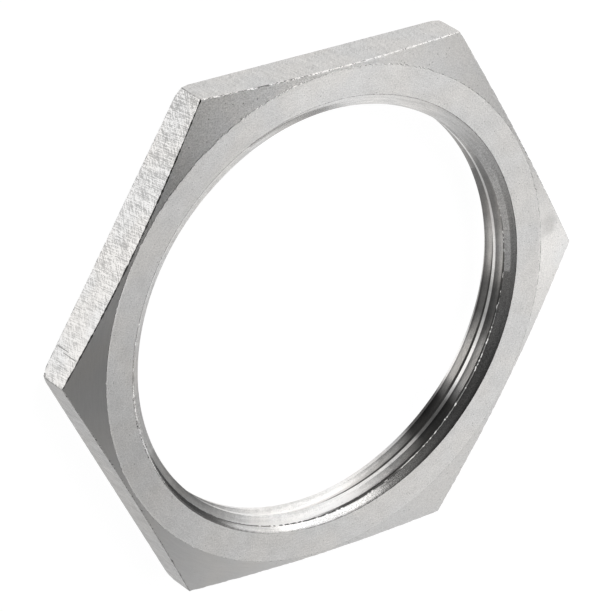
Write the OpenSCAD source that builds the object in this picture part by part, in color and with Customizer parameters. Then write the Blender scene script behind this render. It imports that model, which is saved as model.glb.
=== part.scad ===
// Thin hexagon locknut for a 2 inch parallel pipe thread, turned and milled from one piece.
// It lies on its plain back face. +Z is the thread axis and points out of the chamfered face,
// the origin is the centre of the back face, and two corners of the hexagon lie on the X axis.
// All sizes are in millimetres.

/* [Hexagon] */
// Width across the flats
across_flats = 69; // [64:0.5:90]
// Thickness from face to face
thickness = 5.8; // [4:0.1:14]

/* [Front chamfer] */
// Land left on the front face between the chamfer circle and the middle of each flat
chamfer_land = 0.5; // [0.1:0.1:3]
// Slope of the chamfer, measured from the front face
chamfer_angle = 11; // [5:1:30]

/* [Back corners] */
// How far the small break reaches in from each back corner
back_break = 0.6; // [0.2:0.1:3]
// Slope of the back break, measured from the back face
back_angle = 30; // [15:1:45]

/* [Threaded bore] */
// Diameter across the thread crests
bore_d = 57; // [50:0.1:59]
// Radial width of the countersink at each end of the bore
countersink_w = 1.6; // [0.4:0.1:2.4]
// Included angle of both countersinks
countersink_angle = 120; // [90:5:140]

/* [Hidden] */
facets = 180;

corner_r = across_flats / sqrt(3);
chamfer_r = across_flats / 2 - chamfer_land;
back_r = corner_r - back_break;

bore_r = bore_d / 2;
countersink_slope = tan(countersink_angle / 2);
countersink_depth = countersink_w / countersink_slope;
mouth_r = bore_r + countersink_w;

// Cutting tools and the turning blank stand this far clear of what they cut
clear = 1;

// Outline of the turned blank: the two faces, the front chamfer and the back break
module turned_blank() {
    blank_r = corner_r + clear;
    rotate_extrude($fn = facets)
        polygon([
            [0, 0],
            [back_r, 0],
            [blank_r, (blank_r - back_r) * tan(back_angle)],
            [blank_r, thickness - (blank_r - chamfer_r) * tan(chamfer_angle)],
            [chamfer_r, thickness],
            [0, thickness]
        ]);
}

// Six flats, with two corners on the X axis
module hexagon_prism() {
    translate([0, 0, -clear])
        cylinder(r = corner_r, h = thickness + 2 * clear, $fn = 6);
}

// Plain bore across the thread crests, opened by a countersink at both faces
module bore_cutter() {
    tool_r = mouth_r + clear * countersink_slope;
    rotate_extrude($fn = facets)
        polygon([
            [0, -clear],
            [tool_r, -clear],
            [bore_r, countersink_depth],
            [bore_r, thickness - countersink_depth],
            [tool_r, thickness + clear],
            [0, thickness + clear]
        ]);
}

module locknut() {
    color([0.76, 0.76, 0.74])
        difference() {
            intersection() {
                turned_blank();
                hexagon_prism();
            }
            bore_cutter();
        }
}

locknut();
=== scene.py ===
"""Looks of the pipe hex locknut: one closed detailed mesh stands for the CAD node, with its
helical thread, burrs and small edge breaks, in procedural steel. Lengths are in millimetres
until the mesh is made, places round the nut are in degrees from +X and may pass 360, and the
axes and origin are those of the CAD model."""

import math

import bmesh
import bpy
import numpy as np
from mathutils import Matrix, Vector


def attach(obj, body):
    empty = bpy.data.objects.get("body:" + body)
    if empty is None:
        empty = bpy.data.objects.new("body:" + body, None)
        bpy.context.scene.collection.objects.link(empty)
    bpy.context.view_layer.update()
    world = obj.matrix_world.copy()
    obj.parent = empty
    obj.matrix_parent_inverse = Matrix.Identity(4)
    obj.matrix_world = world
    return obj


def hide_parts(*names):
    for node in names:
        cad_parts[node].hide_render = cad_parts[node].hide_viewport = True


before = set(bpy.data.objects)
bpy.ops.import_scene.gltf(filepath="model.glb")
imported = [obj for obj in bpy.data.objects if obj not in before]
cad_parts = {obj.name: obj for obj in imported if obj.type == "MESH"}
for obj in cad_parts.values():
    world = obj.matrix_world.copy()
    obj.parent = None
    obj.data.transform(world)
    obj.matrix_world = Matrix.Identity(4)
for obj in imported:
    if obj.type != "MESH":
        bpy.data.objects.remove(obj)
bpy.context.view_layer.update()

MM = 0.001

# Hexagon, chamfer and back break, as in the CAD source
ACROSS_FLATS = 69
FLAT_R = ACROSS_FLATS / 2
CORNER_R = ACROSS_FLATS / math.sqrt(3)
THICKNESS = 5.8
CHAMFER_R = FLAT_R - 0.5
CHAMFER_SLOPE = math.tan(math.radians(11))
BACK_R = CORNER_R - 0.6
BACK_SLOPE = math.tan(math.radians(30))

# Rounds, breaks, nicks and burrs of the edges
CORNER_ROUND = 0.15
EDGE_BREAK = 0.11
BACK_BREAK, BACK_STEP, BACK_NICK = 0.06, 0.035, 0.04
BURR = 0.03
CIRCLE_RAG, MOST_RAG = 0.12, 0.16
MOUTH_BREAK, MOUTH_WEAR, CHIP = 0.05, 0.01, 0.08

# Bore: crests, countersinks and the 55 degree thread between them
CREST_R = 28.5
COUNTERSINK_W = 1.6
MOUTH_R = CREST_R + COUNTERSINK_W
CONE_LEAN = math.radians(60)
CONE = math.tan(CONE_LEAN)
CONE_Z_BACK = COUNTERSINK_W / CONE
CONE_Z_FRONT = THICKNESS - CONE_Z_BACK
PITCH = 2.309
CREST_W = 0.563
HALF_FLANK = math.radians(27.5)
FLANK = 1 / math.tan(HALF_FLANK)
ROOT_ROUND = 0.137329 * PITCH
ROOT_MIDDLE = (PITCH - CREST_W) / 2
FLANK_END = ROOT_MIDDLE - ROOT_ROUND * math.cos(HALF_FLANK)
ROOT_CENTRE_R = CREST_R + ROOT_MIDDLE * FLANK - ROOT_ROUND / math.sin(HALF_FLANK)
CREST_Z_AT_320 = 3.07
TURNS = range(-4, 5)

# Lip that the countersink raised along the thread, its ragged parts and the rows in its shadow
LIP_HEIGHT, LIP_OUT, LIP_AT, LIP_SPREAD = 0.12, 0.08, 326, 42
LIP_HIDES = 0.04
RAGGED_OUT, RAGGED_DROP = (0.015, 0.02), (0.01, 0.04)
CRUMB_OUT, CRUMB_DROP, DASH_DROP = 0.07, 0.05, 0.12
LIP_SHADOW = 0.05, 0.13

# Radii between which the painted shade in a root grows full, and outside which the painted reflection is
# whole
ROOT_SHADE_R = 29.37, 29.43
PAINTED_REFLECTION_R = 29.1

# Rings of points: radii on the two faces, and shares of the way in or up on the other surfaces
BACK_RINGS = MOUTH_R, 31.2, 32.6, 34.0
FACE_RINGS = 33.7, 33.0, 32.0, 31.0, MOUTH_R + 0.25
FLAT_ROWS = np.linspace(0.25, 0.95, 11)
CHAMFER_ROWS = 0.35, 0.7
CONE_ROWS = 0.25, 0.42, 0.5, 0.8, 0.96
BACK_CONE_ROWS = 0.35, 0.7
# Rows just inside the top edge, and rows at the foot of a flat: share of the knock, and height
TOP_EDGE_ROWS = 0.07, 0.18
FOOT_ROWS = (1.0, 0.0), (0.4, 0.3), (0.0, 0.7)
ANGLE_STEP = 0.3

# Distances in metres below which points merge and edges go, and angles from which an edge is sharp
MERGE, DEGENERATE = 4e-7, 2e-7
SHARP, SHARP_IN_BORE = math.radians(5), math.radians(30)
# Radius inside which an edge counts as the bore's, and how near to a face a point counts as on it
SMOOTH_BORE_R = 29.9
NEAR = 0.001

# Painted light of the six flats, some lighter and some darker as a painted reflection, and strength of finish
# of each, from the one at 30 degrees on
FLAT_PAINTED_LIGHT = 1.05, 1.04, 1.35, 0.68, 1.0, 1.0
FLAT_GRAIN = 0.9, 0.45, 1.9, 0.8, 1.0, 1.0
# Painted light of the broken top edge on each flat: a painted highlight above, painted shadow on the left
EDGE_PAINTED_LIGHT = 0.8, 1.5, 0.12, 0.38, 0.8, 0.8
LEFT_FLAT = 120, 180
# Score marks across the left flat: place along it, lower and upper end, and depth of tone
SCORES = (15.54, 0.2, 2.7, 0.6), (15.95, 1.8, 4.7, 0.6), (17.2, 1.1, 2.9, 0.3), (17.55, 2.0, 4.3, 0.3)
SCORE_HALF_WIDTH = 0.06
# Middle of a darker patch on the chamfer near the right corner, in millimetres
CHAMFER_DARK_PATCH = 35.4, 3.9, 5.5
STEEL_WARM = 0.63, 0.618, 0.603, 1
STEEL_COOL = 0.61, 0.606, 0.601, 1

# Where things show round the nut: start, end and fade of each
JAGGED_EDGE = 12, 37, 3
BURRED_EDGE = 61, 119, 1
BURR_SPECKS = 99, 119.5, 5
CALM_CORNER = 166, 179.9, 8
RAGGED_CIRCLE = 66, 150, 3
MOUTH_CHIPS = 186, 204, 2
SHARP_MOUTH = 238, 296, 8
BRIGHT_MOUTH = 55, 150, 10
CONE_SMEAR = 186, 205, 3
COARSE_CONE = 268, 392, 10
LIP = 222, 345, 8
LIP_CRUMBS = 342, 376, 4
# Painted shade under the lip in its gaps, dashes and darker stretch, and a painted highlight where it is
# bright
LIP_GAPS = 342, 388, 4
LIP_DASHES = 226, 296, 5
LIP_DARKER = 304, 350, 4
LIP_BRIGHT = 300, 345, 5
LIP_SHADE = 240, 345, 8
# Span where the painted reflection and painted shade of the thread are evened out
THREAD_EVENED_PAINT = 307, 319, 2
# Painted shade in the roots of the thread
SHADED_ROOTS = 278, 372, 12
TORN_FLANK = 322, 336, 4
# The lighter strip on the countersink: start, fade in, end and fade out
LIGHT_STRIP = 356.8, 0.9, 394, 24

# Changes with a height: spans by start, end, fade and height, humps by middle, width and height
KNOCKED_CORNERS = (180, 0.8, 0.2), (60, 0.5, 0.06), (240, 0.5, 0.15)
# Darker along two corners of the left flat, by a share that varies from row to row
CORNER_DARKENING = (120, 0.1, 1.0), (180, 0.15, 1.0)
DARKENING_VARIES = 0.2, 1.2
CHAMFER_GRAIN = (160, 255, 12, -0.85), (100, 135, 8, 0.8)
# Painted light on the chamfer, lighter or darker round the nut
CHAMFER_PAINTED_LIGHT = (1, 8, 0.14), (164, 8, 0.22), (134, 6, -0.1)
CIRCLE_SPECKS = (338, 380, 5, 0.5), (66, 140, 6, 0.55)
# Painted light and shade on the front face
FACE_PAINTED_LIGHT = (203, 24, -0.14), (93, 15, 0.09)
# Painted reflection on the countersink: darker above 0, a painted highlight below 0
CONE_PAINTED_REFLECTION = (352, 400, 12, 0.2), (209, 236, 8, 0.35), (273, 8, 0.33), (287, 6, 0.3), (299, 8, -0.5)
# Painted reflection on the crests: darker round 264 degrees
CREST_PAINTED_REFLECTION = ((264, 12, 0.4),)
LIP_LOW = ((261, 8, 0.08),)

# Painted reflection on the thread by angle: 0 none, up to 1 dark, below 0 a painted highlight
THREAD_PAINTED_REFLECTION = (
    (207, 0.35), (222, 0.35), (240, 0.0), (254, -0.45), (281, -0.5), (292, 0.0), (303, 0.36),
    (307, 0.82), (313, 0.9), (318, 0.82), (322, 0.35), (326, -0.5), (332, -0.5), (338, 0.2),
    (343, 0.6), (351, 0.6), (357, 0.0), (365, -0.1), (371, 0.3), (377, 0.5), (390, 0.5),
    (397, 0.0), (410, 0.2), (440, 0.0), (565, 0.0), (567, 0.35),
)

# Camera: its axes, where the nut is in widths across flats, and its lens in pixels of the photograph
CAMERA_RIGHT = Vector((0.81154847, 0.02946985, 0.58354144))
CAMERA_DOWN = Vector((-0.23742661, -0.89591969, 0.37544175))
CAMERA_AHEAD = Vector((0.53387048, -0.44323745, -0.72008533))
NUT_PLACE = Vector((-0.006421945, -0.011894604, 9.91856))
LENS_PX, IMAGE_PX, SENSOR = 5353.1, 612, 36

# Floor: half its side in metres, how far it lies below the nut, and its tones
FLOOR_HALF = 3.0
FLOOR_GAP = 0.02
FLOOR_TONE, FLOOR_GLOW, SHADOW_DEPTH = 0.8, 0.95, 0.12

# Softboxes in one plane: edges in x and y per metre of the plane's height, and brightness
LAMP_HEIGHT = 0.5
LAMPS = {
    "softbox_back": (0.29, 1.04, 0.37, 2.2, 2.4),
    "softbox_side": (0.84, 2.07, 0.195, 1.5, 0.76),
    "softbox_middle": (0.407, 1.043, -0.4, -0.08, 2.05),
    "softbox_front": (0.77, 3.6, -1.26, -0.70, 1.65),
}

# Room: strength low down and overhead, where the dark gap opens in x, and where the low part ends in z
SKY_LOW, SKY_TOP = 1.26, 0.02
GAP_FROM, GAP_TO = 0.52, 1.05
LOW_FROM, LOW_TO = 0.02, 0.12

# Material slots, in this order on the mesh
FACE, CHAMFER, FLAT, BORE, EDGE = range(5)

RNG = np.random.default_rng(20)


def ring_angles():
    """Even angles, plus those that follow the small round of each hexagon corner."""
    turn = np.radians(np.array([-30, -20, -10, 0, 10, 20, 30]))
    centre = (FLAT_R - CORNER_ROUND) / math.cos(math.radians(30))
    off = np.degrees(np.arctan2(CORNER_ROUND * np.sin(turn), centre + CORNER_ROUND * np.cos(turn)))
    corners = (np.arange(0, 421, 60)[:, None] + off[None]).ravel()
    even = np.arange(0, 360, ANGLE_STEP)
    gap = np.abs(even[:, None] - corners[None]).min(1)
    angles = np.concatenate([even[gap > 0.1], corners[(corners >= 0) & (corners < 360)]])
    return np.append(np.unique(np.round(angles, 6)), 360.0)


def hexagon_radius(theta):
    """Radius of the hexagon with its corners rounded."""
    from_corner = np.radians(np.mod(theta + 30, 60) - 30)
    from_flat = np.radians(np.mod(theta, 60) - 30)
    centre = (FLAT_R - CORNER_ROUND) / math.cos(math.radians(30))
    reach = CORNER_ROUND**2 - (centre * np.sin(from_corner)) ** 2
    round_r = centre * np.cos(from_corner) + np.sqrt(np.maximum(reach, 0))
    flat_r = FLAT_R / np.cos(from_flat)
    on_round = np.abs(centre * np.sin(from_corner)) < CORNER_ROUND * 0.5
    return np.where(on_round & (reach > 0), np.minimum(round_r, flat_r), flat_r)


def crest_low(theta):
    """Height of the lower edge of one crest: it goes deeper as the angle grows."""
    return CREST_Z_AT_320 - PITCH * (theta - 320) / 360


def thread_radius(z, low):
    """Radius of the thread at a height, for a crest whose lower edge is at the height low."""
    along = np.mod(z - low, PITCH)
    side = np.where(along < CREST_W, 0.0, np.minimum(along - CREST_W, PITCH - along))
    off = ROOT_MIDDLE - side
    arc = ROOT_CENTRE_R + np.sqrt(np.maximum(ROOT_ROUND**2 - off**2, 0))
    return np.where(side > FLANK_END, arc, CREST_R + side * FLANK)


def bore_radius(z, low):
    """Radius of the bore: the thread or the countersinks, whichever is wider."""
    cones = np.maximum(z - CONE_Z_FRONT, CONE_Z_BACK - z) * CONE + CREST_R
    return np.maximum(thread_radius(z, low), cones)


def last_crossing(low, start, end):
    """Height where the countersink that ends at the face takes over from the thread for good."""
    z = np.linspace(start, end, 1200)[:, None] * np.ones_like(low)[None]
    cone = np.abs(z - start) * CONE + CREST_R
    over = thread_radius(z, low[None]) > cone + 1e-9
    last = np.where(over.any(0), over.shape[0] - 1 - np.argmax(over[::-1], axis=0), 0)
    a = z[last, np.arange(len(low))]
    b = z[np.minimum(last + 1, len(z) - 1), np.arange(len(low))]
    for _ in range(40):
        mid = (a + b) / 2
        above = thread_radius(mid, low) > np.abs(mid - start) * CONE + CREST_R
        a, b = np.where(above, mid, a), np.where(above, b, mid)
    return np.where(over.any(0), (a + b) / 2, start)


def shown_root(theta, r):
    """The radius r, or a little less where the lip hides more of the root from above."""
    return r - LIP_HIDES * bump_at(theta, LIP_AT, LIP_SPREAD)


def thread_tracks(theta):
    """Heights and radii of the profile's points in the bore, sorted from the front down."""
    low = crest_low(theta)
    top = last_crossing(low, CONE_Z_FRONT, THICKNESS)
    bottom = last_crossing(low, CONE_Z_BACK, 0.0)
    arc = ROOT_MIDDLE - ROOT_ROUND * np.cos(HALF_FLANK + (math.pi - 2 * HALF_FLANK) * np.arange(1, 6) / 6)
    offsets = [0, CREST_W, CREST_W + FLANK_END, PITCH - FLANK_END] + list(CREST_W + arc)
    for r in ROOT_SHADE_R:
        side = (shown_root(theta, r) - CREST_R) / FLANK
        offsets += [CREST_W + side, PITCH - side]
    tracks = [top, bottom, *(top - depth for depth in LIP_SHADOW)]
    for k in TURNS:
        lo = low + k * PITCH
        up = lo + CREST_W
        tracks += [lo + off for off in offsets]
        tracks += [np.clip(CONE_Z_FRONT, lo, up), np.clip(CONE_Z_BACK, lo, up)]
        cross = (FLANK * up - CONE * CONE_Z_FRONT) / (FLANK - CONE)
        tracks.append(np.clip(cross, up, up + FLANK_END))
        cross = (FLANK * lo - CONE * CONE_Z_BACK) / (FLANK - CONE)
        tracks.append(np.clip(cross, lo - FLANK_END, lo))
    z = -np.sort(-np.clip(np.array(tracks), bottom, top), axis=0)
    return z, bore_radius(z, low[None]), top, bottom


def smooth_noise(n, width):
    """Seeded noise round the ring, between about -1 and 1, each swing about width rings long."""
    raw = RNG.normal(size=n)
    kernel = np.hanning(int(width) * 2 + 3)[1:-1]
    wide = np.concatenate([raw[-len(kernel):], raw, raw[: len(kernel)]])
    soft = np.convolve(wide, kernel / np.sqrt((kernel**2).sum()), mode="same")
    soft = soft[len(kernel) : len(kernel) + n]
    return np.append(soft[:-1], soft[0])


def ragged(n, least, more):
    """A ragged size round the ring: the least, and more by a seeded noise."""
    return least + more * np.abs(smooth_noise(n, 1))


def span(theta, start, end, fade):
    """1 between two angles and 0 outside, fading over a few degrees."""
    t = np.where(theta < start - fade, theta + 360, theta)
    return np.clip((t - start) / fade + 1, 0, 1) * np.clip((end - t) / fade + 1, 0, 1)


def bump_at(theta, middle, width):
    """A smooth hump of height 1 round one angle."""
    away = np.mod(theta - middle + 180, 360) - 180
    return np.exp(-((away / width) ** 2))


def total(theta, marks):
    """Sum of spans and humps that each carry a height."""
    result = 0.0
    for *place, height in marks:
        shape = span if len(place) == 3 else bump_at
        result = result + height * shape(theta, *place)
    return result


def dotted(theta, place, level, width=1):
    """A span broken into dots: there are more of them where the level is lower."""
    return span(theta, *place) * (smooth_noise(len(theta), width) > level)


def by_flat(theta, values):
    """One of six values for each angle, by the flat that it is on."""
    return np.array(values)[(theta // 60).astype(int) % 6]


class Profile:
    """Rows of points round the section, each with its radius, height and surface marks."""

    def __init__(self, theta):
        self.theta = theta
        self.rows = []

    def add(self, r, z, **marks):
        """Marks: scuff, wear with painted light and shade, grain of the texture, painted light of the metal
        and edge of the breaks.
        """
        row = {"r": r, "z": z, "scuff": 0.0, "grime": 0.0, "edge": 0.8, "light": painted_flat_light(self.theta)}
        row["grain"] = by_flat(self.theta, FLAT_GRAIN) * (1 - 0.6 * span(self.theta, *CALM_CORNER))
        row.update(marks)
        self.rows.append({name: value * np.ones(len(self.theta)) for name, value in row.items()})

    def array(self, name):
        return np.array([row[name] for row in self.rows])


def painted_flat_light(theta):
    """Painted light of the flats, flat by flat: the left one grows lighter towards its lower corner."""
    light = by_flat(theta, FLAT_PAINTED_LIGHT)
    start, end = LEFT_FLAT
    fade = 0.88 + 0.14 * np.clip((theta - start) / 45, 0, 1)
    return np.where((theta >= start) & (theta < end), light * fade, light)


def add_back(rows, out):
    """Back face, its break, and the nicks along the back edge. Returns where the flats begin."""
    for r in BACK_RINGS:
        rows.add(r, 0)
    nick = BACK_NICK * np.abs(smooth_noise(len(out), 1))
    low_z = np.maximum(out - BACK_R, 0) * BACK_SLOPE
    rows.add(np.minimum(out - BACK_BREAK, BACK_R), 0)
    rows.add(out - BACK_BREAK - nick, np.maximum(low_z - BACK_STEP, 0))
    return low_z + BACK_BREAK + nick


def add_flat(rows, out, foot, head):
    """The hexagon's flats, with three back corners dulled and darker along two corners of the left flat."""
    theta = rows.theta
    knock = total(theta, KNOCKED_CORNERS)
    darkening = total(theta, CORNER_DARKENING)
    for share, height in FOOT_ROWS:
        rows.add(out - share * knock, foot + height, grime=darkening)
    for part in FLAT_ROWS:
        grime = np.minimum(darkening * RNG.uniform(*DARKENING_VARIES), 1.0)
        rows.add(out, foot + (head - foot) * part, grime=grime)
    rows.add(out, head, grime=darkening, edge=painted_edge_light(theta))


def painted_edge_light(theta):
    """Painted light of the broken top edge, with dark specks in the burr above and on the jagged flat."""
    light = by_flat(theta, EDGE_PAINTED_LIGHT)
    light = light * (1 - 0.75 * dotted(theta, BURR_SPECKS, 0.1))
    return light * (1 - 0.7 * dotted(theta, JAGGED_EDGE, -0.3, width=2))


def add_chamfer(rows, out, top_z, width, burr):
    """Broken top edge with its burr, then the chamfer up to its ragged circle with dark specks."""
    theta = rows.theta
    # Painted light on the chamfer, lighter or darker round the nut
    grain = 1 + total(theta, CHAMFER_GRAIN)
    light = 1 + total(theta, CHAMFER_PAINTED_LIGHT)
    inner = out - width
    rows.add(inner, top_z + width * CHAMFER_SLOPE + burr, grain=grain, light=light, edge=painted_edge_light(theta))
    for step in TOP_EDGE_ROWS:
        rows.add(inner - step, top_z + (width + step) * CHAMFER_SLOPE, grain=grain, light=light)
    start = inner - TOP_EDGE_ROWS[-1]
    rag = CIRCLE_RAG * smooth_noise(len(theta), 2) * (0.4 + 0.6 * span(theta, *RAGGED_CIRCLE))
    circle = np.minimum(CHAMFER_R + np.clip(np.abs(rag), 0, MOST_RAG), start - 0.02)
    for part in CHAMFER_ROWS:
        r = start + (circle - start) * part
        rows.add(r, THICKNESS - (r - CHAMFER_R) * CHAMFER_SLOPE, grain=grain, light=light)
    strength = total(theta, CIRCLE_SPECKS)
    specks = np.maximum(np.abs(smooth_noise(len(theta), 1)) - 0.4, 0) * strength
    worn = light * (1 - np.minimum(specks, 0.8))
    for step, tone in ((0.1, light), (0.05, worn)):
        r = circle + np.minimum(step, 3 * step * (start - circle))
        rows.add(r, THICKNESS - (r - CHAMFER_R) * CHAMFER_SLOPE, grain=grain, light=tone)
    rows.add(circle, THICKNESS, grain=grain, light=worn)
    rows.add(circle - 0.06, THICKNESS, light=light)


def add_face(rows):
    """Front face and its small break at the mouth, chipped on the left and almost sharp below."""
    theta = rows.theta
    # Painted light and shade on the front face
    light = 1 + total(theta, FACE_PAINTED_LIGHT)
    for r in FACE_RINGS:
        rows.add(r, THICKNESS, light=light)
    chips = span(theta, *MOUTH_CHIPS)
    worn = MOUTH_BREAK * (1 - 0.85 * span(theta, *SHARP_MOUTH))
    worn = worn + np.abs(smooth_noise(len(theta), 1)) * (MOUTH_WEAR + CHIP * chips)
    edge = 0.6 + 0.15 * span(theta, *BRIGHT_MOUTH) + 0.6 * chips
    rows.add(MOUTH_R + worn, THICKNESS, edge=edge, light=light)
    low_z = THICKNESS - worn / 2 / CONE - 0.4 * worn
    rows.add(MOUTH_R - worn / 2, low_z, edge=edge, scuff=chips, grime=-0.5 * chips)


def light_strip(theta):
    """Strength of the lighter strip on the countersink: it starts sharply and fades out slowly."""
    start, fade_in, end, fade_out = LIGHT_STRIP
    turned = np.where(theta < 180, theta + 360, theta)
    strip = np.clip((turned - start) / fade_in, 0, 1) * np.clip((end - turned) / fade_out, 0, 1)
    return strip * (0.85 + 0.08 * smooth_noise(len(theta), 1))


def add_cone(rows, top_r, strip):
    """Front countersink: smooth on the left, coarse on the right, with a painted reflection, a smear and the
    strip.
    """
    theta = rows.theta
    # Painted reflection on the countersink, darker or with a painted highlight by angle
    painted_reflection = total(theta, CONE_PAINTED_REFLECTION)
    smear = span(theta, *CONE_SMEAR) * (0.6 + 0.4 * smooth_noise(len(theta), 1))
    grain = 0.8 + 1.4 * span(theta, *COARSE_CONE)
    half = 0.45
    for part in CONE_ROWS:
        r = (MOUTH_R - MOUTH_BREAK) + (top_r - MOUTH_R + MOUTH_BREAK) * part
        low = strip * (part > half)
        grime = painted_reflection - 0.4 * low - 0.6 * smear * (part < half)
        rows.add(r, THICKNESS - (MOUTH_R - r) / CONE, scuff=low + smear, grime=grime, grain=grain)


def add_lip(rows, r, z, strip):
    """The lip that the countersink raised along the thread, tall below and in crumbs on the right."""
    theta = rows.theta
    n = len(theta)
    present = span(theta, *LIP)
    present = np.where(present > 0.1, present, 0.0)
    tall = bump_at(theta, LIP_AT, LIP_SPREAD) * present
    crumbs = dotted(theta, LIP_CRUMBS, 0.5)
    gaps = dotted(theta, LIP_GAPS, 0.0) * (1 - crumbs)
    dashes = dotted(theta, LIP_DASHES, -1.0)
    out = LIP_OUT * tall + ragged(n, *RAGGED_OUT) * present + CRUMB_OUT * crumbs
    drop = LIP_HEIGHT * tall + ragged(n, *RAGGED_DROP) * present + CRUMB_DROP * crumbs
    drop = drop + (DASH_DROP + total(theta, LIP_LOW)) * dashes
    lip_r = r - math.sin(CONE_LEAN) * out
    lip_z = z - math.cos(CONE_LEAN) * out
    # Painted shade under the lip in its gaps, dashes and darker spots, and a painted highlight on its bright
    # stretch and crumbs
    darker_spots = span(theta, *LIP_DARKER) * (smooth_noise(n, 1) < 0.7)
    bright = 0.4 * np.maximum(span(theta, *LIP_BRIGHT) * (1 - darker_spots), crumbs)
    grime = np.maximum(np.maximum(gaps, dashes), 0.75 * darker_spots) - bright
    rows.add(lip_r, lip_z, scuff=strip, grime=grime)
    rows.add(lip_r - 0.1 * drop, lip_z - drop, grime=grime)


def painted_thread_reflection(theta):
    """Painted reflection on the thread: dark streaks with lighter places between them, below 0 a painted
    highlight.
    """
    angles, painted_reflection = zip(*THREAD_PAINTED_REFLECTION)
    turned = np.where(theta < THREAD_PAINTED_REFLECTION[0][0], theta + 360, theta)
    even = np.interp(turned, angles, painted_reflection)
    return even + 0.035 * smooth_noise(len(theta), 2) * (1 - np.clip(even, 0, 1))


def add_thread(rows, r, z):
    """The thread, with painted shade in its roots and under the lip, its painted reflection, and a span that
    evens these painted tones out.
    """
    theta = rows.theta
    # Painted reflection on the thread, stronger on the crests and lighter on the flanks
    painted_reflection = painted_thread_reflection(theta)
    evened_paint = span(theta, *THREAD_EVENED_PAINT)
    crest_painted_reflection = painted_reflection + total(theta, CREST_PAINTED_REFLECTION) + 0.15 * evened_paint
    flank_painted_reflection = np.minimum(painted_reflection, 0.3 * painted_reflection) - evened_paint
    in_root_shade = span(theta, *SHADED_ROOTS) * (1 - 0.35 * evened_paint)
    root = np.clip((r - shown_root(theta, ROOT_SHADE_R[0])) / (ROOT_SHADE_R[1] - ROOT_SHADE_R[0]), 0, 1)
    root *= (z < CONE_Z_FRONT) & (z > CONE_Z_BACK)
    under_lip = np.clip(1.3 - (z[0] - z) / 0.1, 0, 1) * span(theta, *LIP_SHADE)
    flank_scuff = 0.9 + 2 * span(theta, *TORN_FLANK)
    on_crest = r < CREST_R + 0.02
    for i in range(1, len(r)):
        mark = np.where(on_crest[i], crest_painted_reflection, np.where(r[i] > PAINTED_REFLECTION_R, painted_reflection, flank_painted_reflection))
        # Painted shade in the roots and under the lip
        darkening = np.maximum(root[i] * in_root_shade, under_lip[i])
        grime = np.clip(mark * (1 - darkening) + 0.92 * darkening, -0.5, 1.08)
        rows.add(r[i], z[i], grime=grime, scuff=np.where(on_crest[i], 0.5, flank_scuff))


def add_bore(rows):
    """Countersink, the lip along the thread, the thread itself and the back countersink."""
    z, r, top, bottom = thread_tracks(rows.theta)
    strip = light_strip(rows.theta)
    add_cone(rows, CREST_R + (top - CONE_Z_FRONT) * CONE, strip)
    add_lip(rows, r[0], z[0], strip)
    add_thread(rows, r, z)
    low_r = CREST_R + (CONE_Z_BACK - bottom) * CONE
    for part in BACK_CONE_ROWS:
        back_r = low_r + (MOUTH_R - low_r) * part
        rows.add(back_r, (MOUTH_R - back_r) / CONE)


def section_rows(theta):
    """Rows from the back face out, over and down the bore."""
    n = len(theta)
    out = hexagon_radius(theta)
    rows = Profile(theta)
    top_z = THICKNESS - (out - CHAMFER_R) * CHAMFER_SLOPE
    jags = span(theta, *JAGGED_EDGE) * np.abs(smooth_noise(n, 1))
    width = EDGE_BREAK * (1 + 0.35 * np.clip(smooth_noise(n, 1), -1.5, 1.5) + 0.4 * jags)
    burr = BURR * span(theta, *BURRED_EDGE) * np.abs(smooth_noise(n, 1))
    foot = add_back(rows, out)
    add_flat(rows, out, foot, top_z - width)
    add_chamfer(rows, out, top_z, width, burr)
    add_face(rows)
    add_bore(rows)
    return rows


def ring_mesh(rows):
    """Mesh of the section's rows turned round the axis, with the rows' marks on its points."""
    r, z = rows.array("r"), rows.array("z")
    turn = np.radians(rows.theta)[None]
    points = np.stack([r * np.cos(turn), r * np.sin(turn), z], axis=-1) * MM
    index = np.arange(r.size).reshape(r.shape)
    after = np.roll(index, -1, axis=0)
    quads = np.stack([index[:, :-1], index[:, 1:], after[:, 1:], after[:, :-1]], axis=-1)
    mesh = bpy.data.meshes.new("locknut_mesh")
    mesh.from_pydata(points.reshape(-1, 3).tolist(), [], quads.reshape(-1, 4).tolist())
    for name in ("scuff", "grime", "light", "grain", "edge"):
        layer = mesh.attributes.new(name, "FLOAT", "POINT")
        layer.data.foreach_set("value", rows.array(name).ravel())
    return mesh


def build_mesh():
    """The nut's closed mesh, smooth over gentle edges and with a material slot for each face."""
    mesh = ring_mesh(section_rows(ring_angles()))
    bm = bmesh.new()
    bm.from_mesh(mesh)
    bmesh.ops.remove_doubles(bm, verts=bm.verts, dist=MERGE)
    bmesh.ops.dissolve_degenerate(bm, edges=bm.edges, dist=DEGENERATE)
    bmesh.ops.recalc_face_normals(bm, faces=bm.faces)
    for edge in bm.edges:
        in_bore = max(v.co.xy.length for v in edge.verts) < SMOOTH_BORE_R * MM
        edge.smooth = edge.calc_face_angle(0) < (SHARP_IN_BORE if in_bore else SHARP)
    for face in bm.faces:
        face.smooth = True
        face.material_index = region(face)
    open_edges = sum(1 for e in bm.edges if len(e.link_faces) != 2)
    print("locknut triangles", sum(len(f.verts) - 2 for f in bm.faces), "open edges", open_edges)
    bm.to_mesh(mesh)
    bm.free()
    return mesh


def region(face):
    """Material slot of a face, by where it is and which way it looks."""
    centre = face.calc_center_median()
    r = centre.xy.length / MM
    z = centre.z / MM
    up = face.normal.z
    if r < MOUTH_R - NEAR and NEAR < z < THICKNESS - NEAR:
        return BORE
    if abs(up) > 0.9995:
        return FACE
    if r > CHAMFER_R - 0.2 and up > 0.95:
        return CHAMFER
    if abs(up) < 0.2:
        return FLAT
    return EDGE


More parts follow.
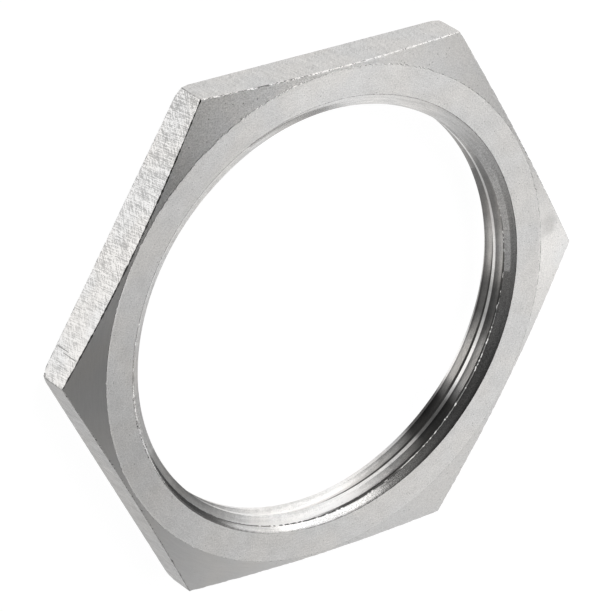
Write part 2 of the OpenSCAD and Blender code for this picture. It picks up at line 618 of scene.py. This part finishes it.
def put(tree, socket, value):
    """Link a socket to this one, or set this one's own value."""
    if isinstance(value, bpy.types.NodeSocket):
        tree.links.new(value, socket)
    else:
        socket.default_value = value


def add_node(tree, kind, inputs, **settings):
    """A shader node with its settings, and its inputs by name or place."""
    node = tree.nodes.new("ShaderNode" + kind)
    for name, value in settings.items():
        setattr(node, name, value)
    for name, value in inputs.items():
        put(tree, node.inputs[name], value)
    return node


def map_range(tree, value, low, high, to_low, to_high, **settings):
    """Bring a value from one range to another, and hold it at the ends."""
    inputs = {"Value": value, "From Min": low, "From Max": high, "To Min": to_low, "To Max": to_high}
    return add_node(tree, "MapRange", inputs, **settings).outputs[0]


class Shader:
    """A metal material and short calls that add its nodes."""

    def __init__(self, name):
        self.material = bpy.data.materials.new(name)
        self.material.use_nodes = True
        self.tree = self.material.node_tree
        self.bsdf = self.tree.nodes["Principled BSDF"]
        self.bsdf.inputs["Metallic"].default_value = 1.0
        coords = self.node("TexCoord", {})
        self.place = self.vector("SCALE", coords.outputs["Object"], scale=1 / MM)
        self.normal = coords.outputs["Normal"]

    def node(self, kind, inputs, **settings):
        return add_node(self.tree, kind, inputs, **settings)

    def math(self, operation, *values):
        return self.node("Math", dict(enumerate(values)), operation=operation).outputs[0]

    def product(self, first, *others):
        for value in others:
            first = self.math("MULTIPLY", first, value)
        return first

    def line(self, value, gain, start):
        """The value times a gain, plus a start."""
        return self.math("MULTIPLY_ADD", value, gain, start)

    def around(self, value, middle, gain):
        """Turn a noise into a factor that varies round 1."""
        return self.line(value, gain, 1 - middle * gain)

    def vector(self, operation, a, b=(0, 0, 0), scale=None):
        inputs = {0: a, 1: b} if scale is None else {0: a, "Scale": scale}
        node = self.node("VectorMath", inputs, operation=operation)
        return node.outputs["Value" if operation in ("DOT_PRODUCT", "LENGTH") else "Vector"]

    def split(self, vector):
        return self.node("SeparateXYZ", {0: vector}).outputs

    def join(self, x, y, z):
        return self.node("CombineXYZ", {0: x, 1: y, 2: z}).outputs[0]

    def noise(self, place, scale=1.0, detail=2.0, roughness=0.5):
        inputs = {"Vector": place, "Scale": scale, "Detail": detail, "Roughness": roughness}
        return self.node("TexNoise", inputs).outputs[0]

    def cells(self, place, scale, output="Distance"):
        return self.node("TexVoronoi", {"Vector": place, "Scale": scale}).outputs[output]

    def ramp(self, value, low, high, to_low=0.0, to_high=1.0):
        return map_range(self.tree, value, low, high, to_low, to_high, interpolation_type="SMOOTHSTEP")

    def mark(self, name):
        return self.node("Attribute", {}, attribute_name=name).outputs["Fac"]

    def ring_place(self, along, across):
        """Place with its grain drawn out round the axis: features per radian and per millimetre."""
        x, y, z = self.split(self.place)
        r = self.math("SQRT", self.math("ADD", self.product(x, x), self.product(y, y)))
        depth = self.product(self.math("SUBTRACT", r, z), across)
        cos = self.math("DIVIDE", x, r)
        sin = self.math("DIVIDE", y, r)
        return self.join(self.product(cos, along), self.product(sin, along), depth)

    def flat_place(self, along, across, lean=0.0):
        """Place on a flat: along its edge and across it, turned by a few degrees, apart for each flat."""
        tangent = self.vector("CROSS_PRODUCT", (0, 0, 1), self.normal)
        u = self.vector("DOT_PRODUCT", self.place, tangent)
        z = self.split(self.place)[2]
        c, s = math.cos(math.radians(lean)), math.sin(math.radians(lean))
        turned_u = self.math("ADD", self.product(u, c * along), self.product(z, s * along))
        turned_z = self.math("ADD", self.product(u, -s * across), self.product(z, c * across))
        which = self.vector("DOT_PRODUCT", self.normal, (37.0, 61.0, 0.0))
        return self.join(turned_u, turned_z, which)

    def finish(self, shade, roughness, height, relief):
        """Colour from two near steels and a shade, with roughness and relief in millimetres."""
        mix = self.ramp(self.noise(self.place, scale=0.16, detail=1.0), 0.35, 0.65)
        tint = self.node("Mix", {0: mix, 6: STEEL_WARM, 7: STEEL_COOL}, data_type="RGBA").outputs[2]
        bump = self.node("Bump", {"Strength": 1.0, "Distance": relief * MM, "Height": height})
        put(self.tree, self.bsdf.inputs["Base Color"], self.vector("SCALE", tint, scale=shade))
        put(self.tree, self.bsdf.inputs["Roughness"], roughness)
        put(self.tree, self.bsdf.inputs["Normal"], bump.outputs[0])
        return self.material


def pits(sh, scale, size, share):
    """Sparse round pits: 1 in a pit. The share is how many of the cells have one."""
    near = sh.ramp(sh.cells(sh.place, scale), size, size * 0.5)
    chosen = sh.math("GREATER_THAN", sh.split(sh.cells(sh.place, scale, "Color"))[0], 1 - share)
    return sh.product(near, chosen)


def steel_face():
    sh = Shader("steel_face")
    grain = sh.noise(sh.place, scale=5.5, roughness=0.6)
    turning = sh.noise(sh.ring_place(along=14.0, across=5.0))
    cloud = sh.noise(sh.place, scale=0.5)
    pit = pits(sh, scale=2.4, size=0.24, share=0.16)
    # The last mark is painted light and shade on the face
    shade = sh.product(
        sh.around(grain, 0.5, gain=0.9),
        sh.around(turning, 0.5, gain=0.2),
        sh.around(cloud, 0.5, gain=0.2),
        sh.line(pit, -0.4, 1.0),
        sh.mark("light"),
    )
    height = sh.math("SUBTRACT", sh.math("ADD", grain, sh.product(turning, 0.5)), pit)
    return sh.finish(shade, sh.line(cloud, 0.04, 0.31), height, relief=0.005)


def steel_chamfer():
    sh = Shader("steel_chamfer")
    strength = sh.mark("grain")
    grain = sh.noise(sh.place, scale=5.5, roughness=0.6)
    turning = sh.noise(sh.ring_place(along=16.0, across=5.0))
    pit = sh.product(pits(sh, scale=2.0, size=0.24, share=0.16), strength)
    off = sh.product(sh.math("SUBTRACT", grain, 0.5), strength)
    # The last mark is painted light on the chamfer
    shade = sh.product(
        sh.around(off, 0.0, gain=0.75),
        sh.around(turning, 0.5, gain=0.16),
        sh.line(pit, -0.4, 1.0),
        dark_patch_on_chamfer(sh),
        sh.mark("light"),
    )
    height = sh.math("SUBTRACT", sh.math("ADD", off, sh.product(turning, 0.4)), pit)
    return sh.finish(shade, 0.33, height, relief=0.004)


def dark_patch_on_chamfer(sh):
    """Factor that darkens a small uneven patch near the right corner."""
    away = sh.vector("LENGTH", sh.vector("SUBTRACT", sh.place, CHAMFER_DARK_PATCH))
    cloud = sh.line(sh.noise(sh.place, scale=0.9), 1.6, -0.8)
    return sh.ramp(sh.math("ADD", away, cloud), 0.6, 2.2, 0.8, 1.0)


def steel_flat():
    sh = Shader("steel_flat")
    long_lines = sh.noise(sh.flat_place(along=0.9, across=7.0, lean=48), roughness=0.7)
    cross_lines = sh.noise(sh.flat_place(along=8.5, across=0.4, lean=6), roughness=0.7)
    grain = sh.noise(sh.place, scale=7.5, roughness=0.6)
    patch = sh.noise(sh.flat_place(along=0.45, across=0.6))
    lines = sh.math("ADD", sh.math("ADD", long_lines, cross_lines), sh.line(grain, 0.9, 0.05))
    uneven = sh.product(sh.mark("grain"), sh.ramp(patch, 0.35, 0.65, 1.15, 0.75))
    off = sh.product(sh.math("SUBTRACT", lines, 1.5), uneven)
    streaks = sh.math("MAXIMUM", sh.product(off, 1.7), -0.34)
    # The last mark is painted light: each flat lighter or darker as a painted reflection
    shade = sh.product(
        sh.math("ADD", streaks, 0.97),
        sh.around(patch, 0.5, gain=0.25),
        sh.math("SUBTRACT", 1.0, score_marks(sh)),
        sh.line(sh.mark("grime"), -0.75, 1.0),
        sh.mark("light"),
    )
    return sh.finish(sh.math("MINIMUM", shade, 1.55), sh.line(patch, 0.15, 0.36), off, relief=0.0035)


def score_marks(sh):
    """Short cuts across the left flat, near its lower corner."""
    normal = (math.cos(math.radians(150)), math.sin(math.radians(150)), 0)
    tangent = (-normal[1], normal[0], 0)
    on_flat = sh.math("GREATER_THAN", sh.vector("DOT_PRODUCT", sh.normal, normal), 0.99)
    u = sh.vector("DOT_PRODUCT", sh.place, tangent)
    z = sh.split(sh.place)[2]
    scores = 0.0
    for where, low, high, depth in SCORES:
        across = sh.math("COMPARE", u, where, SCORE_HALF_WIDTH)
        along = sh.math("COMPARE", z, (low + high) / 2, (high - low) / 2)
        scores = sh.math("ADD", sh.product(across, along, depth), scores)
    return sh.product(scores, on_flat)


def steel_bore():
    sh = Shader("steel_bore")
    scuff, grime = sh.mark("scuff"), sh.mark("grime")
    turning = sh.noise(sh.ring_place(along=8.0, across=9.0))
    grain = sh.noise(sh.place, scale=6.0, roughness=0.6)
    off = sh.product(sh.math("SUBTRACT", grain, 0.5), sh.mark("grain"))
    # The second mark is wear and painted light: painted reflection and painted shade on the countersink and
    # thread, lighter where worn
    shade = sh.product(
        sh.around(turning, 0.5, gain=0.5),
        sh.around(off, 0.0, gain=0.7),
        sh.line(grime, -0.85, 1.0),
        sh.line(scuff, 0.12, 1.05),
    )
    height = sh.math("ADD", turning, sh.product(grain, sh.line(scuff, 1.5, 0.4)))
    return sh.finish(sh.math("MINIMUM", shade, 1.5), sh.line(scuff, 0.24, 0.17), height, relief=0.003)


def steel_edge():
    sh = Shader("steel_edge")
    grain = sh.noise(sh.place, scale=6.0, roughness=0.7)
    speck = sh.ramp(sh.noise(sh.place, scale=3.2, detail=1.0), 0.57, 0.66)
    # The edge mark sets how light the breaks are: on the top edge a painted highlight above and painted
    # shadow on the left
    shade = sh.product(sh.around(grain, 0.5, gain=1.6), sh.mark("edge"), sh.line(speck, -0.8, 1.0))
    return sh.finish(sh.math("MINIMUM", shade, 1.5), 0.24, grain, relief=0.006)


def make_nut():
    """The visible nut, which stands for the CAD node."""
    nut = bpy.data.objects.new("locknut_body", build_mesh())
    bpy.context.scene.collection.objects.link(nut)
    for steel in (steel_face, steel_chamfer, steel_flat, steel_bore, steel_edge):
        nut.data.materials.append(steel())
    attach(nut, "root")
    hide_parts("locknut")


def make_camera():
    """The camera that sees the nut as the photograph does."""
    to_nut = NUT_PLACE * ACROSS_FLATS * MM
    place = -(CAMERA_RIGHT * to_nut.x + CAMERA_DOWN * to_nut.y + CAMERA_AHEAD * to_nut.z)
    data = bpy.data.cameras.new("camera")
    data.sensor_width = SENSOR
    data.lens = SENSOR * LENS_PX / IMAGE_PX
    data.clip_start, data.clip_end = 0.05, 20
    cam = bpy.data.objects.new("camera", data)
    bpy.context.scene.collection.objects.link(cam)
    turn = Matrix((CAMERA_RIGHT, -CAMERA_DOWN, -CAMERA_AHEAD)).transposed().to_4x4()
    cam.matrix_world = Matrix.Translation(place) @ turn
    bpy.context.scene.camera = cam


def make_floor():
    """White floor: the camera and the metal see it white, and it keeps the object's shadow."""
    s = FLOOR_HALF
    mesh = bpy.data.meshes.new("floor_mesh")
    mesh.from_pydata([(-s, -s, 0), (s, -s, 0), (s, s, 0), (-s, s, 0)], [], [(0, 1, 2, 3)])
    floor = bpy.data.objects.new("floor", mesh)
    floor.location.z = -FLOOR_GAP * MM
    bpy.context.scene.collection.objects.link(floor)
    mat = bpy.data.materials.new("floor_white")
    mat.use_nodes = True
    tree = mat.node_tree
    tree.nodes.clear()
    plain, faint = (
        add_node(tree, "BsdfDiffuse", {"Color": (tone, tone, tone, 1)}) for tone in (FLOOR_TONE, SHADOW_DEPTH)
    )
    glow = add_node(tree, "Emission", {"Strength": FLOOR_GLOW})
    both = add_node(tree, "AddShader", {0: faint.outputs[0], 1: glow.outputs[0]})
    path = add_node(tree, "LightPath", {}).outputs
    seen = path["Is Camera Ray"]
    for ray in ("Is Glossy Ray", "Is Transmission Ray"):
        seen = add_node(tree, "Math", {0: seen, 1: path[ray]}, operation="MAXIMUM").outputs[0]
    mix = add_node(tree, "MixShader", {0: seen, 1: plain.outputs[0], 2: both.outputs[0]})
    add_node(tree, "OutputMaterial", {"Surface": mix.outputs[0]})
    mesh.materials.append(mat)


def overhead_lamp(name, x0, x1, y0, y1, brightness):
    """A softbox in the lamp plane."""
    data = bpy.data.lights.new(name, "AREA")
    data.shape = "RECTANGLE"
    data.size = (x1 - x0) * LAMP_HEIGHT
    data.size_y = (y1 - y0) * LAMP_HEIGHT
    data.energy = brightness * math.pi * data.size * data.size_y
    lamp = bpy.data.objects.new(name, data)
    lamp.location = ((x0 + x1) / 2 * LAMP_HEIGHT, (y0 + y1) / 2 * LAMP_HEIGHT, LAMP_HEIGHT)
    lamp.visible_camera = False
    bpy.context.scene.collection.objects.link(lamp)


def make_world():
    """A room that is pale low down and dark overhead, with a dark gap behind the softboxes."""
    world = bpy.data.worlds.new("world")
    bpy.context.scene.world = world
    world.use_nodes = True
    tree = world.node_tree
    coord = add_node(tree, "TexCoord", {})
    x, _, z = add_node(tree, "SeparateXYZ", {0: coord.outputs["Generated"]}).outputs
    height = map_range(tree, z, 0.0, 1.0, SKY_LOW, SKY_TOP)
    gap = map_range(tree, x, GAP_FROM, GAP_TO, 1.0, 0.0, interpolation_type="SMOOTHSTEP")
    low = map_range(tree, z, LOW_FROM, LOW_TO, 1.0, 0.0)
    open_part = add_node(tree, "Math", {0: gap, 1: low}, operation="MAXIMUM")
    room = add_node(tree, "Math", {0: height, 1: open_part.outputs[0]}, operation="MULTIPLY")
    seen = add_node(tree, "LightPath", {}).outputs["Is Camera Ray"]
    mix = add_node(tree, "Mix", {0: seen, 2: room.outputs[0], 3: 1.0}, data_type="FLOAT")
    back = tree.nodes["Background"]
    put(tree, back.inputs["Color"], (1, 1, 1, 1))
    put(tree, back.inputs["Strength"], mix.outputs[0])


make_nut()
make_camera()
make_floor()
for lamp_name, lamp_box in LAMPS.items():
    overhead_lamp(lamp_name, *lamp_box)
make_world()
bpy.context.scene.view_settings.view_transform = "Standard"
